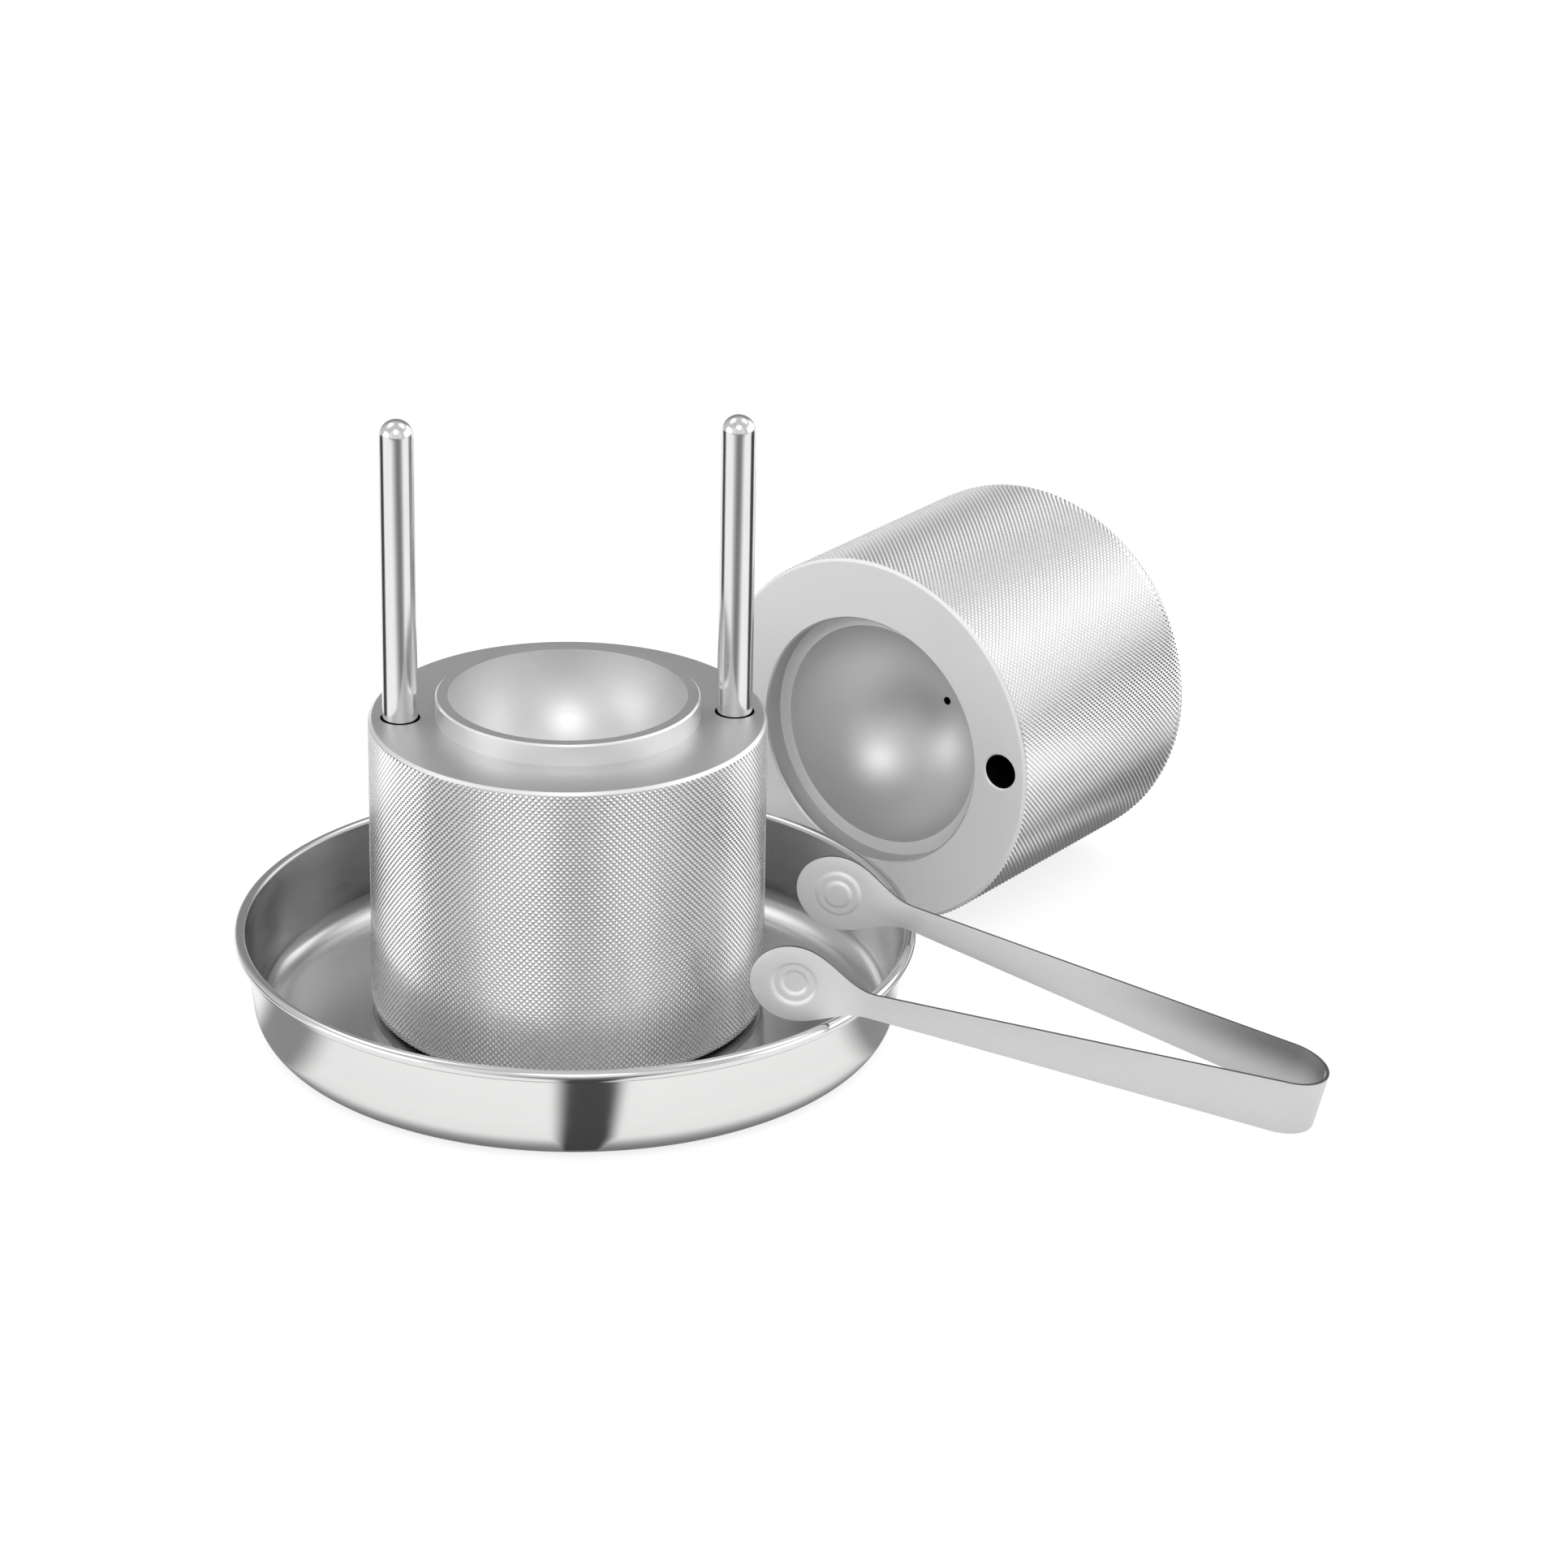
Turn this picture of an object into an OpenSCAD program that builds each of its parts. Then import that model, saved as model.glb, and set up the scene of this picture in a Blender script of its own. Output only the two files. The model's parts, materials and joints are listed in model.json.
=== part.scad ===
// Ice ball press: a two-part mould on guide rods, a drip tray and spring tongs.
// The lower half stands in the tray, the upper half is taken off and lies on its
// side, and the tongs lean on the tray's rim. The origin is the middle of the
// tray's underside, +Z is up and the viewer stands towards -Y.

/* [Mould] */
// Height of each half between its end faces
mould_h = 71; // [60:1:84]
// Diameter of the ice ball
ball_d = 54; // [44:1:64]
// Width of the parting face between the socket and the knurled side
ring_w = 14.8; // [12:0.1:22]
// Chamfer round each parting face
face_chamfer = 0.9; // [0.4:0.1:2]
// Rounding of the lower half's bottom edge
foot_round = 3; // [1:0.5:7]
// Rounding of the upper half's outer end
crown_round = 5.4; // [1:0.2:8]

/* [Collar and socket] */
// Wall of the collar round the lower cavity
collar_wall = 2.8; // [1.8:0.1:3.4]
// Height of the collar above the parting face
collar_h = 5; // [3:0.5:9]
// Chamfer on the collar's outer rim and the socket's mouth
collar_chamfer = 0.4; // [0.2:0.1:0.8]
// Room round the collar in the upper half's socket
collar_room = 0.4; // [0.2:0.1:1]
// Room over the collar in the socket when the press is shut
collar_top_room = 0.2; // [0.1:0.1:0.6]
// Diameter of the vent from the top of the upper cavity
vent_d = 2; // [1.2:0.1:4]

/* [Guide rods] */
// Diameter of the two rods
rod_d = 8; // [6:0.5:9]
// Depth that each rod is set into the lower half
rod_seat = 40; // [26:1:48]
// How far the tips end short of the upper half's outer face
rod_short = 0.5; // [0.2:0.1:6]
// Radial gap of a rod in its seat
rod_fit = 0.03; // [0.01:0.01:0.08]
// Radial room round a rod where it leaves the lower face
rod_entry_room = 0.5; // [0.2:0.1:0.9]
// Depth of that wider entry
rod_entry_h = 9; // [3:1:16]
// Radial room of a rod in the upper half's bore
bore_room = 0.15; // [0.08:0.01:0.4]
// Chamfer at the mouths of the upper half's bores
bore_chamfer = 0.4; // [0.2:0.1:0.7]
// Turn of the rods' line away from the viewer's left and right
rod_turn = 5.7; // [-20:0.1:20]

/* [Rod screws] */
// Thread diameter of the screws from beneath
screw_d = 4; // [3:0.5:5]
// Diameter of a screw's head
screw_head_d = 7; // [6.6:0.1:7.8]
// Height of a screw's head
screw_head_h = 4; // [2:0.5:6]
// Width across the flats of the head's socket
screw_key = 3; // [2:0.5:4]
// Depth of the head's socket
screw_key_h = 2; // [1:0.2:2.8]
// Length of thread in the rod
screw_grip = 12; // [6:1:18]
// How far the head lies above the lower half's underside
screw_sunk = 1.6; // [0.6:0.2:6]
// Radial room round the screw's head
screw_head_room = 0.5; // [0.3:0.1:1]
// Radial room round the screw's shank
screw_room = 0.25; // [0.1:0.05:0.5]

/* [Drip tray] */
// Diameter over the rolled rim
tray_d = 154.8; // [148:0.2:190]
// Height of the rim above the table
tray_h = 23.7; // [16:0.1:34]
// Thickness of the sheet
tray_t = 0.6; // [0.5:0.1:1.2]
// Diameter of the rolled rim
bead_d = 2.8; // [2.4:0.1:5]
// Outer radius of the bend between floor and wall
tray_corner = 7; // [3:0.5:11]
// Outward lean of the wall from upright
tray_lean = 7; // [2:0.5:16]

/* [Tongs] */
// Thickness of the strip
strip_t = 0.8; // [0.5:0.1:1.4]
// Width of the strip round the bow
bow_w = 12.5; // [9:0.5:17]
// Width of the strip where an arm meets its pad
neck_w = 5.8; // [4:0.2:8]
// Middle radius of the bow
bow_r = 9.5; // [6:0.5:14]
// Length of a straight arm
arm_len = 92; // [80:1:110]
// Spread of each arm from the tongs' axis
arm_spread = 8.8; // [5:0.1:13]
// Turn of each pad back towards the axis
pad_toe = 6; // [0:0.5:12]
// Distance from the end of an arm to the middle of its pad
pad_reach = 17.5; // [13:0.5:24]
// Length from the middle of a pad to its tip
pad_tip = 9.8; // [7:0.1:13]
// Width of a pad
pad_w = 17.8; // [14:0.2:22]
// Diameter of the outer pressed step in a pad
step_d = 10.4; // [8:0.2:12]
// Diameter of the inner pressed step
step_inner_d = 5.6; // [3:0.2:6.6]
// Height of each pressed step
step_h = 0.55; // [0.3:0.05:0.9]

/* [Layout] */
// Gap between the tray's rim and the lying half's parting face
upper_gap = 8.8; // [3:0.1:40]
// Sideways place of the lying half along that face
upper_side = 19; // [-10:0.5:30]
// Direction in which the lying half points away, from +X
upper_turn = 53.4; // [40:0.1:70]
// Turn of the lying half about its own axis
upper_roll = -3.3; // [-40:0.1:40]
// Room from the lower half's side to the reach of the tongs' tips
tip_room = 2.9; // [2:0.1:16]
// Bearing of the tongs' bow from the middle of the tray
tongs_bearing = -16.3; // [-24:0.1:-10]
// Direction in which the tongs' arms point, from +X
tongs_turn = 168.4; // [162:0.1:172]

/* [Hidden] */

$fn = 96;
// Gap under a piece that only stands on another
rest_gap = 0.1;
// Height of the tongs' arms over the tray's rim
lean_gap = 0.96;
// Steepest tilt tried for the tongs, the halvings of that range and the stations along an arm
lean_limit = 40;
lean_halvings = 20;
lean_stations = 320;
// Overrun of every cut past the face that it opens
over = 1;
// Small edge break on the screws' heads
head_break = 0.4;
// Cone at the bottom of the tapped hole, as a share of the thread's diameter
tap_tip_share = 0.3;
// Radial gap between a screw's thread and the rod, which stands for the thread
thread_fit = 0.02;
// Edge break on the foot of each rod
rod_break = 0.5;
// Where the mould stands on the tray's free floor, as shares of the free radius
mould_place_shares = [-0.085, 0.265];

ball_r = ball_d / 2;
collar_r = ball_r + collar_wall;
socket_r = collar_r + collar_room;
socket_h = collar_h + collar_top_room;
mould_r = socket_r + ring_w;
// The rods stand half way between the socket and the knurled side
guide_r = (socket_r + mould_r) / 2;
bore_r = rod_d / 2 + bore_room;

tray_r = tray_d / 2;
bead_r = bead_d / 2;
bead_z = tray_h - bead_r;
// Outer radius of the wall where it runs into the rolled rim
wall_top_r = tray_r - bead_d + tray_t;
// Height of the wall's straight part above the floor bend
wall_rise = bead_z - tray_corner * (1 - sin(tray_lean));
floor_r = wall_top_r - tray_corner * cos(tray_lean) - wall_rise * tan(tray_lean);

// Room for the mould's foot on the flat floor
free_r = floor_r - mould_r + foot_round;
mould_x = mould_place_shares[0] * free_r;
mould_y = mould_place_shares[1] * free_r;
mould_z = tray_t + rest_gap;
rod_bottom = mould_h - rod_seat;
rod_top = 2 * mould_h - rod_short;

// Points of an arc about c from angle a0 to a1 in n steps
function arc(c, r, a0, a1, n) =
    [for (i = [0:n]) let (a = a0 + (a1 - a0) * i / n) c + r * [cos(a), sin(a)]];

module at_guides() {
    for (side = [-1, 1])
        rotate([0, 0, rod_turn]) translate([side * guide_r, 0, 0]) children();
}

module in_tray() {
    translate([mould_x, mould_y, mould_z]) children();
}

module at_guide(side) {
    in_tray() rotate([0, 0, rod_turn]) translate([side * guide_r, 0, 0]) children();
}

// One pressed sheet: flat floor, round bend, leaning wall and a hollow rolled rim
module tray_section() {
    bend_at = [floor_r, tray_corner];
    up = [sin(tray_lean), cos(tray_lean)];
    out = [cos(tray_lean), -sin(tray_lean)];
    top_length = wall_rise / cos(tray_lean);
    outer_top = bend_at + tray_corner * out + top_length * up;
    inner_top = bend_at + (tray_corner - tray_t) * out + top_length * up;
    polygon(concat(
        [[0, 0]],
        arc(bend_at, tray_corner, -90, -tray_lean, 10),
        [outer_top, inner_top],
        arc(bend_at, tray_corner - tray_t, -tray_lean, -90, 10),
        [[0, tray_t]]
    ));
    translate([tray_r - bead_r, bead_z]) difference() {
        circle(bead_r, $fn = 32);
        circle(bead_r - tray_t, $fn = 32);
    }
}

module drip_tray() {
    color("gainsboro") rotate_extrude($fn = 144) tray_section();
}

// Turned blank of the lower half with its collar
module lower_blank() {
    collar_top = mould_h + collar_h;
    rotate_extrude($fn = 144) polygon(concat(
        [[0, 0]],
        arc([mould_r - foot_round, foot_round], foot_round, -90, 0, 8),
        [
            [mould_r, mould_h - face_chamfer],
            [mould_r - face_chamfer, mould_h],
            [collar_r, mould_h],
            [collar_r, collar_top - collar_chamfer],
            [collar_r - collar_chamfer, collar_top],
            [0, collar_top]
        ]
    ));
}

// Stepped hole for one rod, its screw's shank and the screw's head
module rod_hole() {
    seat_r = rod_d / 2 + rod_fit;
    translate([0, 0, rod_bottom]) cylinder(r = seat_r, h = rod_seat + over);
    translate([0, 0, mould_h - rod_entry_h])
        cylinder(r = rod_d / 2 + rod_entry_room, h = rod_entry_h + over);
    translate([0, 0, -over]) {
        cylinder(d = screw_d + 2 * screw_room, h = rod_bottom + 2 * over);
        cylinder(d = screw_head_d + 2 * screw_head_room, h = over + screw_sunk + screw_head_h);
    }
}

module lower_mould() {
    color("silver") in_tray() difference() {
        lower_blank();
        translate([0, 0, mould_h + collar_h]) sphere(r = ball_r);
        at_guides() rod_hole();
    }
}

// Rod with a half-ball tip and a tapped foot
module guide_rod(side) {
    shank = rod_top - rod_bottom - rod_d / 2;
    tap_h = screw_grip + screw_d * tap_tip_share;
    color("lightsteelblue") at_guide(side) translate([0, 0, rod_bottom]) difference() {
        union() {
            cylinder(d1 = rod_d - 2 * rod_break, d2 = rod_d, h = rod_break);
            translate([0, 0, rod_break]) cylinder(d = rod_d, h = shank - rod_break);
            translate([0, 0, shank]) intersection() {
                sphere(d = rod_d);
                cylinder(d = rod_d + over, h = rod_d);
            }
        }
        translate([0, 0, -over]) cylinder(r = screw_d / 2 + thread_fit, h = tap_h + over);
    }
}

module left_guide_rod() { guide_rod(-1); }
module right_guide_rod() { guide_rod(1); }

// Socket-head screw that enters the rod from the underside
module rod_screw(side) {
    head_top = screw_sunk + screw_head_h;
    color("dimgray") at_guide(side) difference() {
        union() {
            translate([0, 0, screw_sunk])
                cylinder(d1 = screw_head_d - 2 * head_break, d2 = screw_head_d, h = head_break);
            translate([0, 0, screw_sunk + head_break])
                cylinder(d = screw_head_d, h = screw_head_h - head_break);
            translate([0, 0, head_top]) cylinder(d = screw_d, h = rod_bottom - head_top + screw_grip);
        }
        translate([0, 0, screw_sunk - over])
            cylinder(d = screw_key / cos(30), h = screw_key_h + over, $fn = 6);
    }
}

module left_rod_screw() { rod_screw(-1); }
module right_rod_screw() { rod_screw(1); }

// Upper half with its parting face at z = 0 and its outer end at z = mould_h
module upper_blank() {
    rotate_extrude($fn = 144) polygon(concat(
        [[0, 0], [mould_r - face_chamfer, 0], [mould_r, face_chamfer]],
        arc([mould_r - crown_round, mould_h - crown_round], crown_round, 0, 90, 10),
        [[0, mould_h]]
    ));
}

module guide_bore() {
    translate([0, 0, -over]) cylinder(r = bore_r, h = mould_h + 2 * over);
    for (end = [0, 1])
        translate([0, 0, end * mould_h]) mirror([0, 0, end]) translate([0, 0, -bore_chamfer])
            cylinder(r1 = bore_r + 2 * bore_chamfer, r2 = bore_r, h = 2 * bore_chamfer);
}

// The lying half rests on the table along one line of its side
module lying() {
    face_at = tray_r + upper_gap;
    rotate([0, 0, upper_turn]) translate([face_at, -upper_side, mould_r])
        rotate([0, 90, 0]) rotate([0, 0, upper_roll]) children();
}

module upper_mould() {
    color("silver") lying() difference() {
        upper_blank();
        translate([0, 0, -over]) cylinder(r = socket_r, h = socket_h + over, $fn = 144);
        translate([0, 0, -collar_chamfer])
            cylinder(r1 = socket_r + 2 * collar_chamfer, r2 = socket_r, h = 2 * collar_chamfer, $fn = 144);
        translate([0, 0, socket_h]) sphere(r = ball_r);
        cylinder(d = vent_d, h = mould_h + over, $fn = 32);
        for (side = [-1, 1]) translate([0, side * guide_r, 0]) guide_bore();
    }
}

// Station l along one arm's middle: its place in the tongs' plane and half its width there
function arm_station(l) =
    let (
        root = bow_r * [-sin(arm_spread), cos(arm_spread)],
        along = [cos(arm_spread), sin(arm_spread)],
        pad_dir = [cos(arm_spread - pad_toe), sin(arm_spread - pad_toe)],
        m = l - arm_len
    )
    m <= 0
        ? [root + l * along, (bow_w + (neck_w - bow_w) * l / arm_len) / 2]
        : [root + arm_len * along + m * pad_dir, pad_half(m)];

// Half the width of a pad at m past the end of its arm
function pad_half(m) =
    m <= pad_reach
        ? neck_w / 2 + (pad_w - neck_w) / 2 * (1 - cos(180 * m / pad_reach)) / 2
        : pad_w / 2 * sqrt(max(0, 1 - pow((m - pad_reach) / pad_tip, 2)));

tongs_len = arm_len + pad_reach + pad_tip;
bow_side = [cos(tongs_bearing), sin(tongs_bearing)];
// The tips end short of the lower half, so the bow stands off by the tongs' own length
bow_at = (mould_r + [mould_x, mould_y] * bow_side + tip_room + tongs_len) * bow_side;

// Height of the bow's middle when its outer edge is on the table at this tilt
function bow_height(tilt) = bow_w / 2 * cos(tilt) + (bow_r + strip_t / 2) * sin(tilt);

// Lower edge of the arm at station l: distance from the tray's axis, and height
function lower_edge(tilt, side, l) =
    let (
        s = arm_station(l),
        run = s[0][0] * cos(tilt) + s[1] * sin(tilt),
        across = side * s[0][1],
        at = bow_at + run * [cos(tongs_turn), sin(tongs_turn)] + across * [-sin(tongs_turn), cos(tongs_turn)]
    )
    [norm(at), bow_height(tilt) + s[0][0] * sin(tilt) - s[1] * cos(tilt)];

// Height of a lower edge's point over the rolled rim, or the tongs' length where it is clear of it
function over_rim(e) =
    let (d = e[0] - tray_r + bead_r)
    abs(d) < bead_r ? e[1] - bead_z - sqrt(bead_r * bead_r - d * d) : tongs_len;

function least_over_rim(tilt) =
    min([for (side = [-1, 1], i = [0:lean_stations])
        over_rim(lower_edge(tilt, side, tongs_len * i / lean_stations))]);

// Tilt at which the tongs lean on the rim, found by halving the interval
function lean_tilt(low, high, turns) =
    let (mid = (low + high) / 2)
    turns == 0 ? mid
    : least_over_rim(mid) < lean_gap ? lean_tilt(mid, high, turns - 1)
    : lean_tilt(low, mid, turns - 1);

tongs_tilt = lean_tilt(0, lean_limit, lean_halvings);
echo(tongs_tilt = tongs_tilt, bow_at = bow_at, bow_z = bow_height(tongs_tilt),
    mould_at = [mould_x, mould_y, mould_z], guide_r = guide_r, floor_r = floor_r);

// The tongs lie on their side, bow on the table and arms up on the tray's rim
module leaning() {
    translate([bow_at[0], bow_at[1], bow_height(tongs_tilt)])
        rotate([0, 0, tongs_turn]) rotate([0, -tongs_tilt, 0]) children();
}

module tongs_bow() {
    color("lightgray") leaning() rotate([0, 0, 90 + arm_spread])
        rotate_extrude(angle = 180 - 2 * arm_spread, $fn = 96)
            translate([bow_r - strip_t / 2, -bow_w / 2]) square([strip_t, bow_w]);
}

// Sheet of the strip's thickness standing on the line y = 0
module sheet() {
    rotate([90, 0, 0]) translate([0, 0, -strip_t / 2]) linear_extrude(strip_t) children();
}

// Outline of a pad with the neck that widens into it
module pad_outline() {
    blend = [for (i = [0:12]) let (m = pad_reach * i / 12) [m, pad_half(m)]];
    tip = [for (a = [84:-6:0]) [pad_reach + pad_tip * cos(a), pad_w / 2 * sin(a)]];
    upper = concat(blend, tip);
    count = len(upper);
    polygon(concat(upper, [for (i = [count - 2:-1:0]) [upper[i][0], -upper[i][1]]]));
}

// Two steps pressed through the pad: raised towards the ice, hollow outside
module pad() {
    outer_r = step_d / 2;
    inner_r = step_inner_d / 2;
    difference() {
        union() {
            sheet() pad_outline();
            translate([pad_reach, -strip_t / 2, 0]) rotate([90, 0, 0]) {
                cylinder(r1 = outer_r, r2 = outer_r - step_h, h = step_h, $fn = 64);
                translate([0, 0, step_h])
                    cylinder(r1 = inner_r + step_h, r2 = inner_r, h = step_h, $fn = 48);
            }
        }
        translate([pad_reach, strip_t / 2, 0]) rotate([90, 0, 0]) {
            cylinder(r1 = outer_r - strip_t / 2, r2 = outer_r - strip_t / 2 - step_h, h = step_h, $fn = 64);
            translate([0, 0, step_h])
                cylinder(r1 = inner_r + step_h - strip_t / 2, r2 = inner_r - strip_t / 2, h = step_h, $fn = 48);
        }
    }
}

// Arm on the +Y side of the tongs' axis, from the bow's end to the tip of the pad
module tongs_arm() {
    rotate([0, 0, arm_spread]) translate([0, bow_r, 0]) {
        sheet() polygon([
            [0, -bow_w / 2], [arm_len, -neck_w / 2],
            [arm_len, neck_w / 2], [0, bow_w / 2]
        ]);
        translate([arm_len, 0, 0]) {
            translate([0, 0, -neck_w / 2]) cylinder(d = strip_t, h = neck_w, $fn = 24);
            rotate([0, 0, -pad_toe]) pad();
        }
    }
}

module tongs_near_arm() { color("lightgray") leaning() tongs_arm(); }
module tongs_far_arm() { color("lightgray") leaning() mirror([0, 1, 0]) tongs_arm(); }

drip_tray();
lower_mould();
left_guide_rod();
right_guide_rod();
left_rod_screw();
right_rod_screw();
upper_mould();
tongs_bow();
tongs_near_arm();
tongs_far_arm();
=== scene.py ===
# %% [markdown]
# # Ice ball press
# Two turned aluminium halves melt a block of ice into a ball. The lower half stands in
# a steel tray with its guide rods up, the upper half lies on its side behind it, and a
# pair of spring tongs leans on the tray's rim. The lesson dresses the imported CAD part:
# places are read from its nodes, sizes repeat its own, and the only new lengths are
# those of details that the solids leave out.

# %% Load the frame
import json
import math

import bpy
from mathutils import Matrix, Vector


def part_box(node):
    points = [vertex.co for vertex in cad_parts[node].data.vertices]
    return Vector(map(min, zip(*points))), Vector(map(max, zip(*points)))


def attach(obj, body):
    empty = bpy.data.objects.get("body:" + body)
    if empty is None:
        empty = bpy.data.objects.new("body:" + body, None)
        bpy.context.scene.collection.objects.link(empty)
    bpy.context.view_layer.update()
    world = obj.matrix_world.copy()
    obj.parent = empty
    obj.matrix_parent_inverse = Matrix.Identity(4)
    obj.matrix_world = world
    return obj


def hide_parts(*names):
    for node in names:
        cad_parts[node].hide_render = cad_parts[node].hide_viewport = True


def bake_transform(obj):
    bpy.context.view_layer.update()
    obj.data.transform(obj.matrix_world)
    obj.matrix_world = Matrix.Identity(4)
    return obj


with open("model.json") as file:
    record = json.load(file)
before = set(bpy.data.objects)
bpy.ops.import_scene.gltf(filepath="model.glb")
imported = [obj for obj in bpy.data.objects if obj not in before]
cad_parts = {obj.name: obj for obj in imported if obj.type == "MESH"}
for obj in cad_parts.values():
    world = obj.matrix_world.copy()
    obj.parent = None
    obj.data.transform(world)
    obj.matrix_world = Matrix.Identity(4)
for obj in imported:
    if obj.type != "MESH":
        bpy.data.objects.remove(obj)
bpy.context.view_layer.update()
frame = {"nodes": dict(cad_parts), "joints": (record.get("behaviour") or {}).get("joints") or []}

MM = 0.001
OVER = 1 * MM

# %% [markdown]
# ## Hand tools
# An operator acts on everything selected, and the CAD nodes come in selected. So each
# step first leaves one piece alone on the bench. A vertex to start from is a small
# plane with its corners merged, and a profile grows from it by extruding point by point.
# MM turns millimetres into metres, and OVER is how far a cutting tool runs past the
# surface that it opens.

# %% Hand tools
def alone(piece):
    """Only this piece is selected and active."""
    if bpy.context.object and bpy.context.object.mode != "OBJECT":
        bpy.ops.object.mode_set(mode="OBJECT")
    bpy.ops.object.select_all(action="DESELECT")
    piece.select_set(True)
    bpy.context.view_layer.objects.active = piece


def open_edit(piece, chosen="SELECT"):
    """Edit mode on this piece, with all or nothing selected."""
    alone(piece)
    bpy.ops.object.mode_set(mode="EDIT")
    bpy.ops.mesh.select_mode(type="VERT")
    bpy.ops.mesh.select_all(action=chosen)


def chain(name, points):
    """An open chain of vertices through these points, extruded one by one."""
    bpy.ops.object.select_all(action="DESELECT")
    bpy.ops.mesh.primitive_plane_add(size=MM, location=(0, 0, 0))
    piece = bpy.context.object
    piece.name = name
    open_edit(piece)
    bpy.ops.mesh.merge(type="CENTER")
    bpy.ops.transform.translate(value=points[0])
    for before, after in zip(points, points[1:]):
        step = Vector(after) - Vector(before)
        bpy.ops.mesh.extrude_region_move(TRANSFORM_OT_translate={"value": step})
    bpy.ops.object.mode_set(mode="OBJECT")
    return piece


def close_seams(piece, distance=0.002 * MM):
    """Merges vertices that lie this close, then turns every face outwards."""
    open_edit(piece)
    bpy.ops.mesh.remove_doubles(threshold=distance)
    bpy.ops.mesh.normals_make_consistent(inside=False)
    bpy.ops.object.mode_set(mode="OBJECT")


def turned(name, profile, steps, axis_at):
    """A profile of (radius, height) turned once round the upright axis at axis_at."""
    points = [(axis_at[0] + r, axis_at[1], z) for r, z in profile]
    piece = chain(name, points)
    centre = (axis_at[0], axis_at[1], 0)
    open_edit(piece)
    bpy.ops.mesh.spin(steps=steps, angle=math.tau, center=centre, axis=(0, 0, 1))
    close_seams(piece)
    return piece


def arc(centre, radius, start, end, count):
    """Points of an arc from start to end degrees, both ends included."""
    turns = [math.radians(start + (end - start) * i / count) for i in range(count + 1)]
    x, z = centre
    return [(x + radius * math.cos(a), z + radius * math.sin(a)) for a in turns]


def pick_faces(piece, wanted):
    """Edit mode with only the faces selected that wanted(face) says yes to."""
    open_edit(piece, "DESELECT")
    bpy.ops.mesh.select_mode(type="FACE")
    bpy.ops.object.mode_set(mode="OBJECT")
    chosen = 0
    for face in piece.data.polygons:
        face.select = wanted(face)
        chosen += face.select
    bpy.ops.object.mode_set(mode="EDIT")
    return chosen


def smooth(piece, degrees=30):
    """Smooth shading, with edges sharper than this left crisp."""
    alone(piece)
    bpy.ops.object.shade_smooth_by_angle(angle=math.radians(degrees))


print("hand tools ready")

# %% [markdown]
# ## Measures
# The places of the halves and rods are read from the boxes of their nodes, and the
# sizes between them are the CAD part's own. The knurl is a fine 1.4 mm diamond, as a
# hand press has for grip. It is cut 0.26 mm deep, so its crests reach the diameter of
# the solid and its grooves lie inside it. Its columns and rows give that pitch.

# %% Measures
low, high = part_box("lower_mould")
mould_at = (low + high) / 2
mould_r = (high.x - low.x) / 2
foot_z = low.z
collar_top = high.z
mould_h = 71 * MM
face_z = foot_z + mould_h
ball_r = 27 * MM
collar_r = 29.8 * MM
collar_chamfer = 0.4 * MM
face_chamfer = 0.9 * MM
foot_round = 3 * MM
crown_round = 5.4 * MM
knurl_depth = 0.26 * MM
knurl_columns = 208
knurl_rows = 48
groove_r = mould_r - knurl_depth
rods = {}
for name in ("left_guide_rod", "right_guide_rod"):
    low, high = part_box(name)
    rods[name] = ((low + high) / 2, low.z, high.z)
rod_r = 4 * MM
print("mould radius", round(mould_r / MM, 2), "face at", round(face_z / MM, 2))
print("collar top", round(collar_top / MM, 2), "rods", [tuple(r[0]) for r in rods.values()])

# %% [markdown]
# ## Knurled sleeve
# A knurling tool rolls two families of slanted grooves into the side, and leaves rows
# of small pyramids. A bump map would fake them, but they show at the silhouette and
# each facet catches its own light, so they are real here. A turned sleeve of quads is
# poked, its first edges are dissolved, and what remains is a net of diamonds. A second
# poke lifts each diamond to a pyramid.

# %% Knurled sleeve
def knurled_sleeve(name, profile, axis_at):
    """A sleeve of pyramids on this profile. Their tips get 1 in the crest attribute."""
    piece = turned(name, profile, knurl_columns, axis_at)
    corners = len(piece.data.vertices)
    open_edit(piece)
    bpy.ops.mesh.poke(offset=0)
    bpy.ops.mesh.select_all(action="DESELECT")
    bpy.ops.mesh.select_mode(type="EDGE")
    bpy.ops.object.mode_set(mode="OBJECT")
    for edge in piece.data.edges:
        edge.select = max(edge.vertices) < corners
    bpy.ops.object.mode_set(mode="EDIT")
    bpy.ops.mesh.dissolve_edges(use_verts=False)
    bpy.ops.object.mode_set(mode="OBJECT")
    net = len(piece.data.vertices)
    open_edit(piece)
    bpy.ops.mesh.poke(offset=knurl_depth)
    bpy.ops.object.mode_set(mode="OBJECT")
    crest = piece.data.attributes.new("crest", "FLOAT", "POINT")
    for index in range(net, len(piece.data.vertices)):
        crest.data[index].value = 1
    reach = max(math.hypot(v.co.x - axis_at[0], v.co.y - axis_at[1]) for v in piece.data.vertices)
    print(name, "pyramids", len(piece.data.vertices) - net, "tip radius", round(reach / MM, 2))
    return piece


def rows_between(bottom, top, rows):
    """Evenly spaced (radius, height) points up the side at groove depth."""
    return [(groove_r, bottom + (top - bottom) * i / rows) for i in range(rows + 1)]


pitch_round = math.tau * mould_r / knurl_columns
print("knurl pitch in mm:", round(pitch_round / MM, 2), "round the side")

# %% [markdown]
# ## Turned halves
# Each half is one closed turned solid: end face, chamfer, collar or socket, and the
# half-ball cavity, all on one profile, because a lathe cuts them in one clamping.
# The holes off the axis are drilled after that, so they are Boolean cuts. The plain
# side is then taken off and the knurled sleeve is merged on at both borders.

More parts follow.
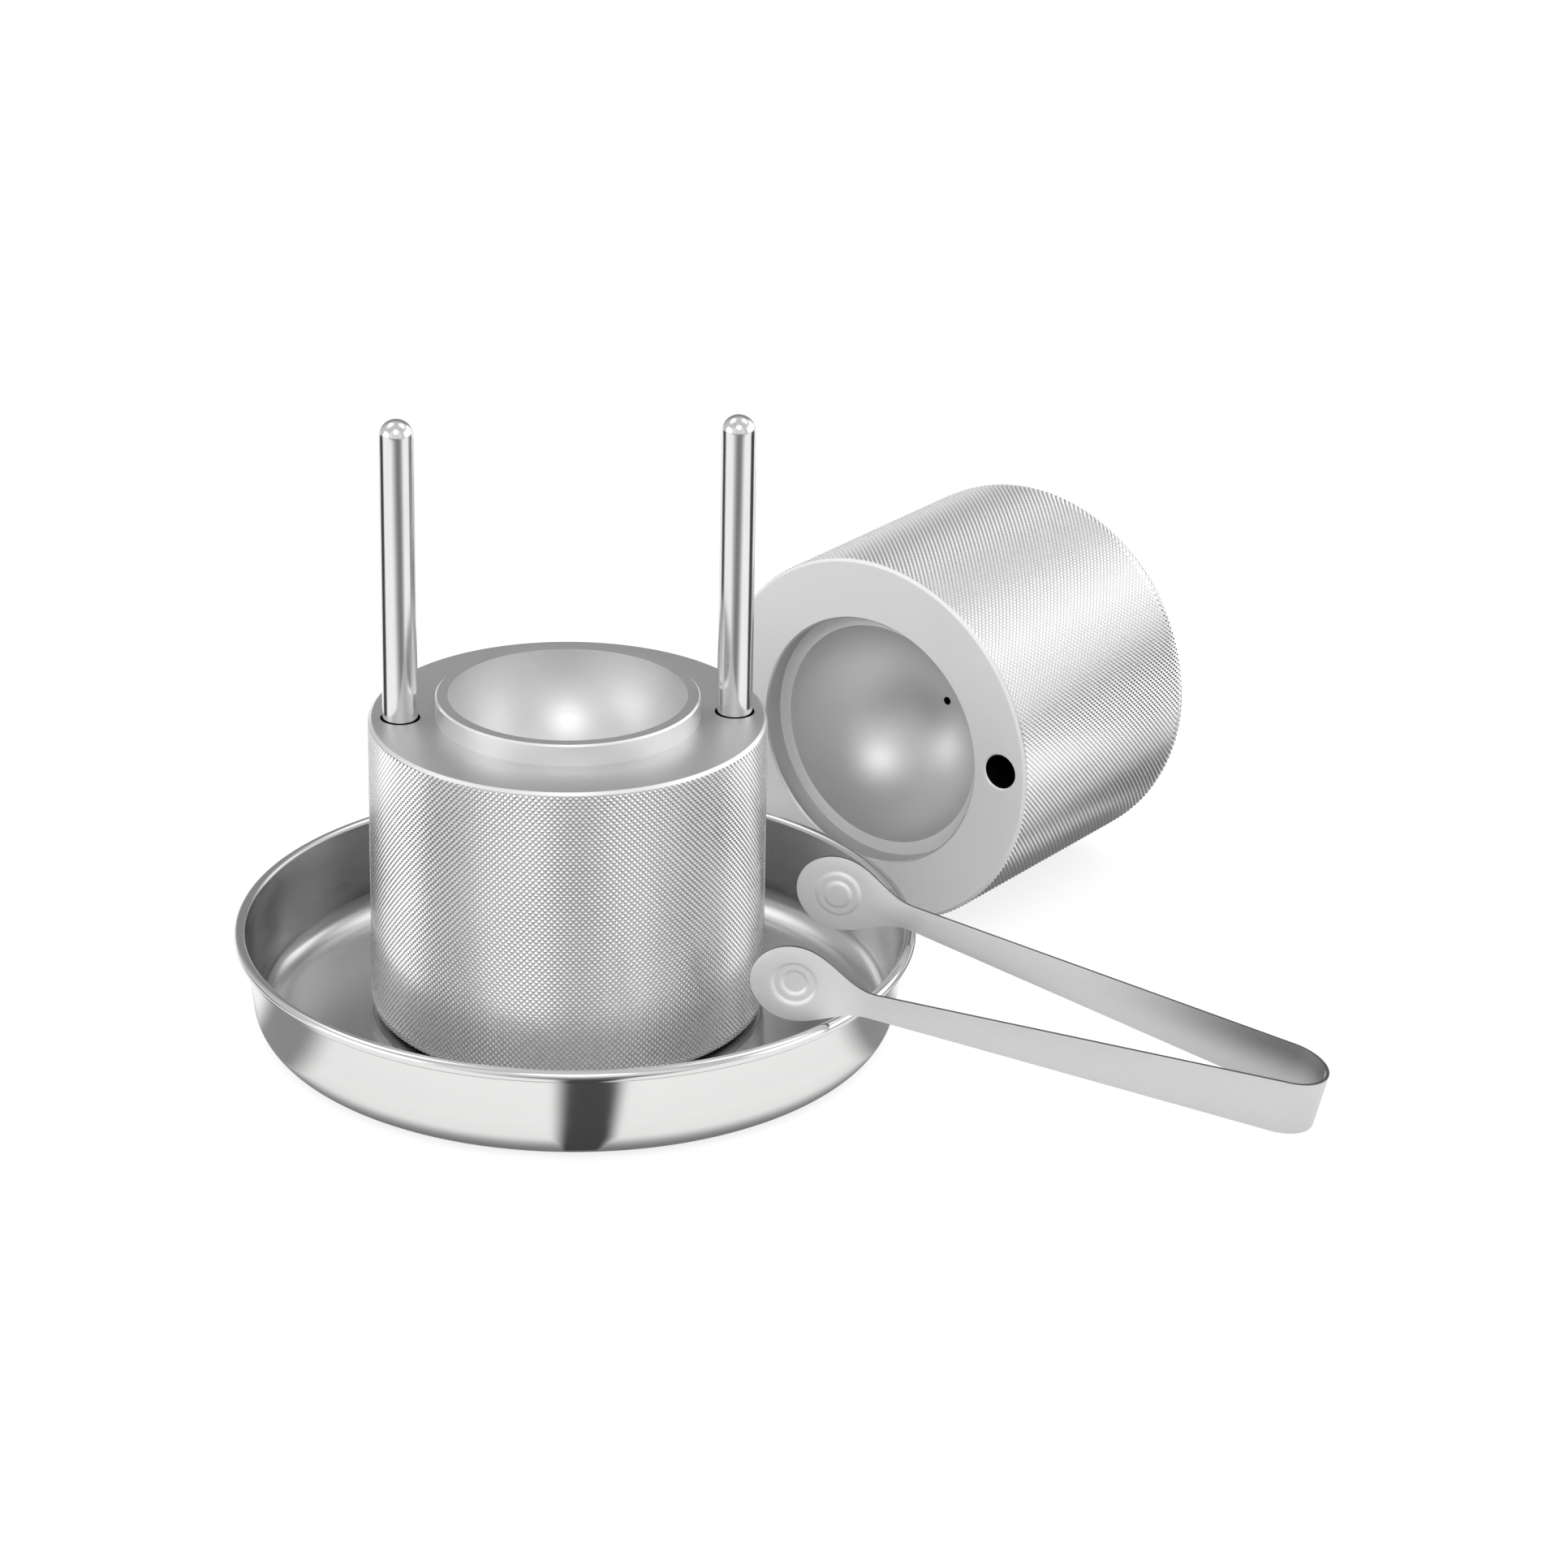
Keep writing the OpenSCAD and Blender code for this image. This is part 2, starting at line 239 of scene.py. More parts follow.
# %% Drilling and sleeving
def drill(piece, name, profile, at):
    """Cuts a turned tool out of the piece, and throws the tool away."""
    tool = turned(name, profile, 64, at)
    alone(piece)
    cut = piece.modifiers.new("drill", "BOOLEAN")
    cut.operation = "DIFFERENCE"
    cut.solver = "EXACT"
    cut.object = tool
    bpy.ops.object.modifier_apply(modifier=cut.name)
    bpy.data.objects.remove(tool)


def pin(radius, bottom, top):
    """The profile of a plain round tool."""
    return [(0, bottom), (radius, bottom), (radius, top), (0, top)]


def open_edges(piece):
    """How many edges have only one face. A closed solid has none."""
    uses = {}
    for face in piece.data.polygons:
        for key in face.edge_keys:
            uses[key] = uses.get(key, 0) + 1
    return sum(1 for count in uses.values() if count == 1)


def sleeve_on(piece, sleeve, axis_at):
    """Takes the plain side off the piece and merges the sleeve on in its place."""
    tall = 0.8 * mould_h
    past_bores = 0.94 * mould_r

    def plain_side(face):
        heights = [piece.data.vertices[i].co.z for i in face.vertices]
        out = math.hypot(face.center.x - axis_at[0], face.center.y - axis_at[1])
        return max(heights) - min(heights) > tall and out > past_bores

    sides = pick_faces(piece, plain_side)
    bpy.ops.mesh.delete(type="FACE")
    piece.data.attributes.new("crest", "FLOAT", "POINT")
    alone(piece)
    sleeve.select_set(True)
    bpy.ops.object.join()
    close_seams(piece, 0.01 * MM)
    smooth(piece)
    print(piece.name, "side faces taken off:", sides, "faces:", len(piece.data.polygons))
    print(piece.name, "open edges:", open_edges(piece))


print("drilling and sleeving ready")

# %% [markdown]
# ## Lower half
# Collar up, foot down. The rods' entries are wider than the rods for 9 mm, and their
# walls are painted shade, which shows as a dark ring round each rod. The screws'
# counterbores open beneath. The knurl starts in the round of the foot, 30 degrees
# below the side.

# %% Lower half
entry_r = 4.5 * MM
entry_floor = face_z - 9 * MM
head_r = 4 * MM
head_top = foot_z + 5.6 * MM
foot_bend = (mould_r - foot_round, foot_z + foot_round)
knurl_from = -30
foot_arc = arc(foot_bend, foot_round - knurl_depth, knurl_from, 0, 2)
side_top = (groove_r, face_z - face_chamfer + knurl_depth)
lower_side = foot_arc[:-1] + rows_between(foot_bend[1], side_top[1], knurl_rows)
lower_profile = (
    [(0, foot_z)]
    + arc(foot_bend, foot_round - knurl_depth, -90, knurl_from, 4)
    + [side_top, (mould_r - face_chamfer, face_z), (collar_r, face_z)]
    + [(collar_r, collar_top - collar_chamfer), (collar_r - collar_chamfer, collar_top)]
    + arc((0, collar_top), ball_r, 0, -90, 30)
)
lower_half = turned("lower_half_turned", lower_profile, knurl_columns, mould_at)
for centre, foot, tip in rods.values():
    drill(lower_half, "rod_entry_tool", pin(entry_r, entry_floor, face_z + OVER), centre)
    drill(lower_half, "counterbore_tool", pin(head_r, foot_z - OVER, head_top), centre)
sleeve_on(lower_half, knurled_sleeve("lower_sleeve", lower_side, mould_at), mould_at)
print("rod entries reach down to", round(entry_floor / MM, 2))

# %% [markdown]
# ## Upper half
# It is turned standing up, its parting face down at zero, and laid down at the end.
# The socket takes the lower half's collar, the two bores slide over the rods, and a
# 2 mm vent lets air out of the ball. Its place comes from its node: the least reach
# along its axis is the parting face. The knurl runs 55 degrees into the crown's round,
# and ends before the bores.

# %% Upper half
socket_r = 30.2 * MM
socket_h = 5.2 * MM
guide_r = 37.6 * MM
bore_r = 4.15 * MM
bore_chamfer = 0.4 * MM
vent_r = 1 * MM
vent_from = 20 * MM
lying_turn = math.radians(53.4)
lying_roll = math.radians(-3.3)
points = [v.co for v in frame["nodes"]["upper_mould"].data.vertices]
away = Vector((math.cos(lying_turn), math.sin(lying_turn), 0))
across = Vector((-away.y, away.x, 0))
face_along = min(p.dot(away) for p in points)
sides_at = [p.dot(across) for p in points]
face_across = (min(sides_at) + max(sides_at)) / 2
face_centre = face_along * away + face_across * across + Vector((0, 0, mould_r))
lying_place = (
    Matrix.Translation(face_centre)
    @ Matrix.Rotation(lying_turn, 4, "Z")
    @ Matrix.Rotation(math.radians(90), 4, "Y")
    @ Matrix.Rotation(lying_roll, 4, "Z")
)
crown_bend = (mould_r - crown_round, mould_h - crown_round)
knurl_to = 55
crown_arc = arc(crown_bend, crown_round - knurl_depth, 0, knurl_to, 3)
side_foot = (groove_r, face_chamfer - knurl_depth)
upper_side = rows_between(side_foot[1], crown_bend[1], knurl_rows - 2) + crown_arc[1:]
upper_profile = (
    arc((0, socket_h), ball_r, 90, 0, 30)
    + [(socket_r, socket_h), (socket_r, collar_chamfer), (socket_r + collar_chamfer, 0)]
    + [(mould_r - face_chamfer, 0), side_foot]
    + arc(crown_bend, crown_round - knurl_depth, knurl_to, 90, 4)
    + [(0, mould_h)]
)
upper_half = turned("upper_half_turned", upper_profile, knurl_columns, (0, 0))
rim = bore_r + bore_chamfer + OVER
bore = [
    (0, -OVER), (rim, -OVER), (bore_r, bore_chamfer),
    (bore_r, mould_h - bore_chamfer), (rim, mould_h + OVER), (0, mould_h + OVER),
]
for side in (-1, 1):
    drill(upper_half, "bore_tool", bore, (0, side * guide_r))
drill(upper_half, "vent_tool", pin(vent_r, vent_from, mould_h + OVER), (0, 0))
sleeve_on(upper_half, knurled_sleeve("upper_sleeve", upper_side, (0, 0)), (0, 0))
upper_half.data.transform(lying_place)
print("parting face centre of the lying half", [round(v / MM, 2) for v in face_centre])

# %% [markdown]
# ## Guide rods
# Ground steel rods with half-ball tips, each turned as one solid.

# %% Guide rods
foot_chamfer = 0.5 * MM
rod_pieces = []
for name, (centre, foot, tip) in rods.items():
    shank = tip - rod_r
    profile = [(0, foot), (rod_r - foot_chamfer, foot), (rod_r, foot + foot_chamfer)]
    profile += arc((0, shank), rod_r, 0, 90, 16)
    rod = turned(name.replace("guide_rod", "rod_ground"), profile, 64, centre)
    smooth(rod, 40)
    rod_pieces.append(rod)
    print(rod.name, "from", round(foot / MM, 1), "to", round(tip / MM, 1))

# %% [markdown]
# ## Drip tray
# One pressed disc: flat floor, round bend, a wall that leans out, and a rim rolled
# outwards to a bead. The sheet is 0.6 mm, so inside and outside are both drawn, and the
# bead's inner side runs on into the inner wall. A crease under the bead shows where
# the roll closes on the outer wall, at bead_close on its circle.

# %% Drip tray
low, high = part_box("drip_tray")
tray_r = (high.x - low.x) / 2
tray_t = 0.6 * MM
bead_r = 1.4 * MM
corner = 7 * MM
lean = 7
bead_close = -130.6
bead_at = (tray_r - bead_r, high.z - bead_r)
lean_rad = math.radians(lean)
wall_rise = bead_at[1] - corner * (1 - math.sin(lean_rad))
wall_top_r = tray_r - 2 * bead_r + tray_t
floor_r = wall_top_r - corner * math.cos(lean_rad) - wall_rise * math.tan(lean_rad)
bend_at = (floor_r, corner)
tray_profile = (
    [(0, 0)]
    + arc(bend_at, corner, -90, -lean, 14)
    + arc(bead_at, bead_r, bead_close, 180 - lean, 26)
    + arc(bend_at, corner - tray_t, -lean, -90, 14)
    + [(0, tray_t)]
)
tray = turned("tray_pressed", tray_profile, 192, (0, 0))
smooth(tray, 40)
print("tray radius", round(tray_r / MM, 2), "floor radius", round(floor_r / MM, 2))

# %% [markdown]
# ## Tongs
# One strip of spring steel, 0.8 mm thick, bent round a bow and pressed to round pads.
# It is modelled as its middle sheet, and Solidify gives it its thickness, with the
# sheared edge as a second material. The squeeze joint's own axis gives the tongs' frame:
# x runs to the tips, y to the near arm, z across the strip. The real bow bends when the
# arms are squeezed.

# %% The tongs' frame
squeeze = [j for j in frame["joints"] if j["name"] == "tongs_far_squeeze"][0]
strip_across = Vector(squeeze["axis"]).normalized()
bearing = math.atan2(-strip_across.y, -strip_across.x)
tilt = math.acos(strip_across.z)
level = Vector((math.cos(bearing), math.sin(bearing), 0))
tips_way = level * math.cos(tilt) + Vector((0, 0, math.sin(tilt)))
near_way = Vector((-math.sin(bearing), math.cos(bearing), 0))
tongs_turn = Matrix((tips_way, near_way, strip_across)).transposed()
tongs_place = Matrix.Translation(squeeze["pos_m"]) @ tongs_turn.to_4x4()
strip_t = 0.8 * MM
bow_w = 12.5 * MM
neck_w = 5.8 * MM
bow_r = 9.5 * MM
arm_len = 92 * MM
spread = math.radians(8.8)
toe = math.radians(2.8)
pad_reach = 17.5 * MM
pad_tip = 9.8 * MM
pad_w = 17.8 * MM
edge_break = 0.12 * MM
print("tongs bear", round(math.degrees(bearing), 1), "tilt", round(math.degrees(tilt), 1))

# %% [markdown]
# ## Pad
# The pad starts as a circle moved out to the pad's outline. Ring after ring is
# extruded inwards and set to the depth of the two pressed steps, and the last ring is
# filled. pad_steps holds each ring's radius and depth in millimetres.

# %% Pad
def pad_half(m):
    """Half the pad's width at m past the neck."""
    if m <= pad_reach:
        wave = (1 - math.cos(math.pi * m / pad_reach)) / 2
        return neck_w / 2 + (pad_w - neck_w) / 2 * wave
    return pad_w / 2 * math.sqrt(max(0, 1 - ((m - pad_reach) / pad_tip) ** 2))


def pad_outline():
    """Points round the pad as (along, across) from the middle of its steps."""
    tip = [math.radians(a) for a in range(0, 91, 5)]
    half = [(pad_tip * math.cos(a), pad_w / 2 * math.sin(a)) for a in tip]
    steps = 16
    back = [pad_reach * (1 - i / steps) for i in range(1, steps + 1)]
    half += [(m - pad_reach, pad_half(m)) for m in back]
    return half + [(-pad_reach, 0)] + [(u, -w) for u, w in reversed(half[1:])]


pad_steps = [
    (5.7, 0), (5.3, 0.03), (5.05, 0.14), (4.8, 0.4), (4.55, 0.52), (4.3, 0.55),
    (3.45, 0.55), (3.2, 0.58), (2.98, 0.7), (2.75, 0.95), (2.5, 1.07), (2.2, 1.1), (1.1, 1.1),
]


def pressed_pad(name):
    """The pad's middle sheet in its own plane: x along, y across, z towards the ice."""
    outline = pad_outline()
    bpy.ops.object.select_all(action="DESELECT")
    bpy.ops.mesh.primitive_circle_add(vertices=len(outline), radius=pad_tip, fill_type="NOTHING")
    piece = bpy.context.object
    piece.name = name
    for vertex, (u, w) in zip(piece.data.vertices, outline):
        vertex.co = (u, w, 0)
    open_edit(piece)
    for radius, depth in pad_steps:
        bpy.ops.mesh.extrude_region_move()
        bpy.ops.object.mode_set(mode="OBJECT")
        for vertex in piece.data.vertices:
            if vertex.select:
                shrink = radius * MM / math.hypot(vertex.co.x, vertex.co.y)
                vertex.co = (vertex.co.x * shrink, vertex.co.y * shrink, depth * MM)
        bpy.ops.object.mode_set(mode="EDIT")
    bpy.ops.mesh.edge_face_add()
    bpy.ops.object.mode_set(mode="OBJECT")
    return piece


print("pad outline points:", len(pad_outline()), "rings:", len(pad_steps))

# %% [markdown]
# ## Thickness
# Solidify makes the strip from the middle sheet. The edges between sheet and cut edge
# are then broken by a small bevel. Where the strip is only split in the scene, between
# the bow and an arm and at the apex, both sides have to stay flush, so they get none.

# %% Thickness
def thicken(piece, ends):
    """Solidify, then a small bevel on the long edges and not on the cut ends."""
    close_seams(piece)
    wall = piece.modifiers.new("wall", "SOLIDIFY")
    wall.thickness = strip_t
    wall.offset = 0
    wall.use_even_offset = True
    wall.material_offset_rim = 1
    for stand_in in ("sheet", "edge"):
        piece.data.materials.append(bpy.data.materials.new(stand_in))
    alone(piece)
    bpy.ops.object.modifier_apply(modifier=wall.name)
    rim = {}
    for face in piece.data.polygons:
        for key in face.edge_keys:
            rim.setdefault(key, set()).add(face.material_index)
    open_edit(piece, "DESELECT")
    bpy.ops.mesh.select_mode(type="EDGE")
    bpy.ops.object.mode_set(mode="OBJECT")
    for edge in piece.data.edges:
        places = [piece.data.vertices[i].co for i in edge.vertices]
        at_end = any(all(end(p) for p in places) for end in ends)
        edge.select = len(rim[edge.key]) == 2 and not at_end
    bpy.ops.object.mode_set(mode="EDIT")
    bpy.ops.mesh.bevel(offset=edge_break, segments=2, affect="EDGES")
    bpy.ops.object.mode_set(mode="OBJECT")
    smooth(piece, 35)


print("strip thickness in mm:", round(strip_t / MM, 2))

# %% [markdown]
# ## Arms
# An arm is an edge extruded along its length and narrowed on the way. Short first and
# last stretches keep the smooth shading of the long one straight. The pad turns inwards
# at the neck, to the toe angle from the tongs' axis. The far arm is the near one mirrored.

# %% Arms
arm_shares = (0.03, 0.9, 0.07)
near_cut = 0.05 * MM
root_near = Vector((-bow_r * math.sin(spread), bow_r * math.cos(spread), 0))
arm_way = Vector((math.cos(spread), math.sin(spread), 0))


def arm(name, side):
    """One arm with its pad, in the tongs' frame. side is 1 for near and -1 for far."""
    levels = (-bow_w / 2, 0, bow_w / 2)
    strip = chain(name, [root_near + Vector((0, 0, z)) for z in levels])
    open_edit(strip)
    width = bow_w
    for share in arm_shares:
        step = share * arm_len * arm_way
        bpy.ops.mesh.extrude_region_move(TRANSFORM_OT_translate={"value": step})
        narrow = width - share * (bow_w - neck_w)
        bpy.ops.transform.resize(value=(1, 1, narrow / width), center_override=(0, 0, 0))
        width = narrow
    bpy.ops.object.mode_set(mode="OBJECT")
    pad = pressed_pad("pad")
    pad_way = Vector((math.cos(toe), math.sin(toe), 0))
    inwards = Vector((math.sin(toe), -math.cos(toe), 0))
    axes = Matrix((pad_way, Vector((0, 0, 1)), inwards)).transposed().to_4x4()
    at = root_near + arm_len * arm_way + pad_reach * pad_way
    pad.data.transform(Matrix.Translation(at) @ axes)
    alone(strip)
    pad.select_set(True)
    bpy.ops.object.join()
    strip.data.transform(Matrix.Diagonal((1, side, 1, 1)))

    def at_root(p):
        return (Vector((p.x, p.y * side, 0)) - root_near).dot(arm_way) < near_cut

    thicken(strip, [at_root])
    strip.data.transform(tongs_place)
    print(name, "faces", len(strip.data.polygons))
    return strip


near_arm = arm("near_arm_strip", 1)
far_arm = arm("far_arm_strip", -1)

# %% [markdown]
# ## Bow
# Each half of the bow is spun from the apex to an arm's root in 48 steps.

# %% Bow
def half_bow(name, side):
    """Half of the bow from its apex to one arm's root, in the tongs' frame."""
    levels = (-bow_w / 2, 0, bow_w / 2)
    strip = chain(name, [(-bow_r, 0, z) for z in levels])
    open_edit(strip)
    sweep = side * (math.pi / 2 - spread)
    bpy.ops.mesh.spin(steps=48, angle=sweep, center=(0, 0, 0), axis=(0, 0, 1))
    bpy.ops.object.mode_set(mode="OBJECT")
    if side * sum(v.co.y for v in strip.data.vertices) < 0:
        strip.data.transform(Matrix.Diagonal((1, -1, 1, 1)))
    root = Vector((root_near.x, side * root_near.y, 0))

    def at_apex(p):
        return abs(p.y) < near_cut

    def at_root(p):
        return abs(p.x * math.cos(spread) + p.y * side * math.sin(spread)) < near_cut

    thicken(strip, [at_apex, at_root])
    strip.data.transform(tongs_place)
    print(name, "faces", len(strip.data.polygons))
    return strip, tongs_place @ Vector((-bow_r, 0, 0)), tongs_place @ root


near_bow, bow_apex, near_root = half_bow("near_bow_strip", 1)
far_bow, bow_apex, far_root = half_bow("far_bow_strip", -1)
print("bow apex at", [round(v / MM, 1) for v in bow_apex])

# %% [markdown]
# ## Node helpers
# Every material is built with these few functions. Their inputs are sockets or plain
# numbers, and most of them return the socket with the result.

# %% Node helpers
def group(name, inputs, outputs):
    """An empty node group with these named sockets."""
    made = bpy.data.node_groups.new(name, "ShaderNodeTree")
    for label, kind in inputs:
        made.interface.new_socket(name=label, in_out="INPUT", socket_type=kind)
    for label, kind in outputs:
        made.interface.new_socket(name=label, in_out="OUTPUT", socket_type=kind)
    return made, made.nodes.new("NodeGroupInput"), made.nodes.new("NodeGroupOutput")


def feed(tree, value, socket):
    """Puts a plain number on a socket, or links another socket to it."""
    if isinstance(value, (int, float)):
        socket.default_value = value
    else:
        tree.links.new(value, socket)


def maths(tree, operation, first, second=None, clamp=False):
    """One Math node."""
    node = tree.nodes.new("ShaderNodeMath")
    node.operation = operation
    node.use_clamp = clamp
    feed(tree, first, node.inputs[0])
    if second is not None:
        feed(tree, second, node.inputs[1])
    return node.outputs[0]


def plus(tree, first, second):
    """The sum."""
    return maths(tree, "ADD", first, second)


def minus(tree, first, second):
    """The difference."""
    return maths(tree, "SUBTRACT", first, second)


def times(tree, first, second):
    """The product."""
    return maths(tree, "MULTIPLY", first, second)


def most(tree, first, *others):
    """The largest of them."""
    for other in others:
        first = maths(tree, "MAXIMUM", first, other)
    return first


def mix(tree, low, high, share):
    """low where share is 0, high where it is 1."""
    return plus(tree, times(tree, minus(tree, high, low), share), low)


def remap(tree, value, low_in, high_in, low_out, high_out, kind="SMOOTHSTEP"):
    """A Map Range node. It holds its end levels past both ends."""
    node = tree.nodes.new("ShaderNodeMapRange")
    node.interpolation_type = kind
    tree.links.new(value, node.inputs["Value"])
    feed(tree, low_in, node.inputs["From Min"])
    feed(tree, high_in, node.inputs["From Max"])
    feed(tree, low_out, node.inputs["To Min"])
    feed(tree, high_out, node.inputs["To Max"])
    return node.outputs["Result"]


def remap_turn(tree, turn, start, end, low, high):
    """remap() of an angle, its ends in degrees."""
    return remap(tree, turn, math.radians(start), math.radians(end), low, high)


def band(tree, value, start, end, soft):
    """1 between start and end, fading to 0 over soft on both sides."""
    rise = remap(tree, value, start - soft / 2, start + soft / 2, 0, 1)
    fall = remap(tree, value, end - soft / 2, end + soft / 2, 1, 0)
    return times(tree, rise, fall)


def turn_band(tree, turn, start, end, soft):
    """band() of an angle, its ends in degrees."""
    return band(tree, turn, math.radians(start), math.radians(end), math.radians(soft))


def vector_maths(tree, operation, vector, fixed=None):
    """A Vector Math node on one socket and, where it takes one, a fixed vector."""
    node = tree.nodes.new("ShaderNodeVectorMath")
    node.operation = operation
    tree.links.new(vector, node.inputs[0])
    if fixed is not None:
        node.inputs[1].default_value = fixed
    return node


def along(tree, vector, way):
    """How far a vector reaches along a fixed direction."""
    return vector_maths(tree, "DOT_PRODUCT", vector, way).outputs["Value"]


def split_axes(tree, vector):
    """The X, Y and Z sockets of a vector."""
    node = tree.nodes.new("ShaderNodeSeparateXYZ")
    tree.links.new(vector, node.inputs["Vector"])
    return node.outputs


def turn_from_front(tree, x, y):
    """The angle from straight in front of the tray, the same to the left and right."""
    return maths(tree, "ARCTAN2", maths(tree, "ABSOLUTE", x), times(tree, y, -1))


print("node helpers ready")

# %% [markdown]
# ## Shared finishes
# Three effects are used by more than one metal, so each is a node group with named
# sockets: fine rings left by the lathe, brushed grain along the piece's X, and slow
# smudges that vary the polish.

# %% Shared finishes
FLOAT = "NodeSocketFloat"
VECTOR = "NodeSocketVector"

lathe_rings, given, result = group(
    "lathe_rings", [("Vector", VECTOR), ("Rings per mm", FLOAT)], [("Mark", FLOAT)]
)
flat = vector_maths(lathe_rings, "MULTIPLY", given.outputs["Vector"], (1, 1, 0))
length = vector_maths(lathe_rings, "LENGTH", flat.outputs["Vector"])
in_mm = times(lathe_rings, length.outputs["Value"], 1 / MM)
rings = lathe_rings.nodes.new("ShaderNodeTexNoise")
rings.noise_dimensions = "1D"
rings.inputs["Detail"].default_value = 3
scaled = times(lathe_rings, in_mm, given.outputs["Rings per mm"])
lathe_rings.links.new(scaled, rings.inputs["W"])
rings.inputs["Scale"].default_value = 1
lathe_rings.links.new(rings.outputs["Fac"], result.inputs["Mark"])

brushed_grain, given, result = group(
    "brushed_grain", [("Vector", VECTOR), ("Lines per mm", FLOAT)], [("Mark", FLOAT)]
)
along_grain = 0.03
stretch_by = (along_grain / MM, 1 / MM, 1 / MM)
stretch = vector_maths(brushed_grain, "MULTIPLY", given.outputs["Vector"], stretch_by)
grain = brushed_grain.nodes.new("ShaderNodeTexNoise")
grain.inputs["Detail"].default_value = 4
brushed_grain.links.new(stretch.outputs["Vector"], grain.inputs["Vector"])
brushed_grain.links.new(given.outputs["Lines per mm"], grain.inputs["Scale"])
brushed_grain.links.new(grain.outputs["Fac"], result.inputs["Mark"])

smudges, given, result = group(
    "smudges", [("Vector", VECTOR), ("Patches per mm", FLOAT)], [("Mark", FLOAT)]
)
in_mm = vector_maths(smudges, "SCALE", given.outputs["Vector"])
in_mm.inputs["Scale"].default_value = 1 / MM
cloud = smudges.nodes.new("ShaderNodeTexNoise")
cloud.inputs["Detail"].default_value = 3
smudges.links.new(in_mm.outputs["Vector"], cloud.inputs["Vector"])
smudges.links.new(given.outputs["Patches per mm"], cloud.inputs["Scale"])
smudges.links.new(cloud.outputs["Fac"], result.inputs["Mark"])
print("groups:", [g.name for g in bpy.data.node_groups])

# %% [markdown]
# ## Metals
# All the metals are the same shader with other numbers: a colour that is the metal's
# reflectance, a roughness that the marks vary, and a small bump. A Mapping node puts
# the pattern on each piece's own axis, which place gives.

# %% Metals
SMUDGES_PER_MM = 0.045
MARK_SHARE = 0.6
SMUDGE_SHARE = 0.4
BUMP_STRENGTH = 0.35


def use_group(tree, pattern, vector, scale):
    """A shared finish on these coordinates, at this scale."""
    node = tree.nodes.new("ShaderNodeGroup")
    node.node_tree = pattern
    tree.links.new(vector, node.inputs["Vector"])
    node.inputs[1].default_value = scale
    return node.outputs["Mark"]


def metal(name, colour, roughness, place, pattern, scale, bump, vary, shade, metallic=1):
    """A metal with one pattern of marks plus smudges, on the piece's own axes."""
    made = bpy.data.materials.new(name)
    made.use_nodes = True
    tree = made.node_tree
    shader = tree.nodes["Principled BSDF"]
    shader.inputs["Metallic"].default_value = metallic
    coordinates = tree.nodes.new("ShaderNodeTexCoord")
    own = tree.nodes.new("ShaderNodeMapping")
    own.vector_type = "TEXTURE"
    own.inputs["Location"].default_value = place.to_translation()
    own.inputs["Rotation"].default_value = place.to_euler()
    tree.links.new(coordinates.outputs["Object"], own.inputs["Vector"])
    mark = use_group(tree, pattern, own.outputs["Vector"], scale)
    smudge = use_group(tree, smudges, own.outputs["Vector"], SMUDGES_PER_MM)
    both = plus(tree, times(tree, mark, MARK_SHARE), times(tree, smudge, SMUDGE_SHARE))
    rough = remap(tree, both, 0.3, 0.7, roughness - vary, roughness + vary, "LINEAR")
    tree.links.new(rough, shader.inputs["Roughness"])
    tone = remap(tree, both, 0.25, 0.75, 1 - shade, 1 + shade, "LINEAR")
    tint = tree.nodes.new("ShaderNodeVectorMath")
    tint.operation = "SCALE"
    tint.inputs[0].default_value = colour
    tree.links.new(tone, tint.inputs["Scale"])
    tree.links.new(tint.outputs["Vector"], shader.inputs["Base Color"])
    relief = tree.nodes.new("ShaderNodeBump")
    relief.inputs["Strength"].default_value = BUMP_STRENGTH
    relief.inputs["Distance"].default_value = bump * MM
    tree.links.new(mark, relief.inputs["Height"])
    tree.links.new(relief.outputs["Normal"], shader.inputs["Normal"])
    return made


print("metal shader ready")

# %% [markdown]
# ## Painted shade and brighter pads
# A finished metal can be changed by a factor on its colour: painted shade between the
# crests of the knurl, painted shade on the inner side of the fold, and brighter pads.

# %% Painted shade and brighter pads
def scale_colour(tree, factor):
    """Multiplies the colour that reaches the shader by a socket."""
    target = tree.nodes["Principled BSDF"].inputs["Base Color"]
    scaled = vector_maths(tree, "SCALE", target.links[0].from_socket)
    tree.links.new(factor, scaled.inputs["Scale"])
    tree.links.new(scaled.outputs["Vector"], target)


def own_axes(tree):
    """The X, Y and Z sockets of the piece's own axes, after its Mapping node."""
    own = [node for node in tree.nodes if node.bl_idname == "ShaderNodeMapping"][0]
    return split_axes(tree, own.outputs["Vector"])


def paint_groove_shade(made, groove):
    """Painted shade: between the crests the knurl's colour is darker."""
    tree = made.node_tree
    crest = tree.nodes.new("ShaderNodeAttribute")
    crest.attribute_name = "crest"
    scale_colour(tree, remap(tree, crest.outputs["Fac"], 0, 0.55, groove, 1))


def shade_fold(made):
    """Painted shade on the strip's inner face, darker towards the bow and its upper edge, where the
    fold shuts the light out.
    """
    tree = made.node_tree
    own = own_axes(tree)
    near_bow_end = remap(tree, own["X"], 2 * MM, 52 * MM, 1, 0)
    upper = remap(tree, own["Z"], -4 * MM, 5 * MM, 0.1, 0.7)
    scale_colour(tree, minus(tree, 1, times(tree, near_bow_end, upper)))


def brighten_pads(made, gain):
    """The pads' colour is brighter than the arms' by gain, rising over the neck."""
    tree = made.node_tree
    start = arm_len - 4 * MM
    end = arm_len + 6 * MM
    scale_colour(tree, remap(tree, own_axes(tree)["X"], start, end, 1, gain))


print("wear and grime ready")
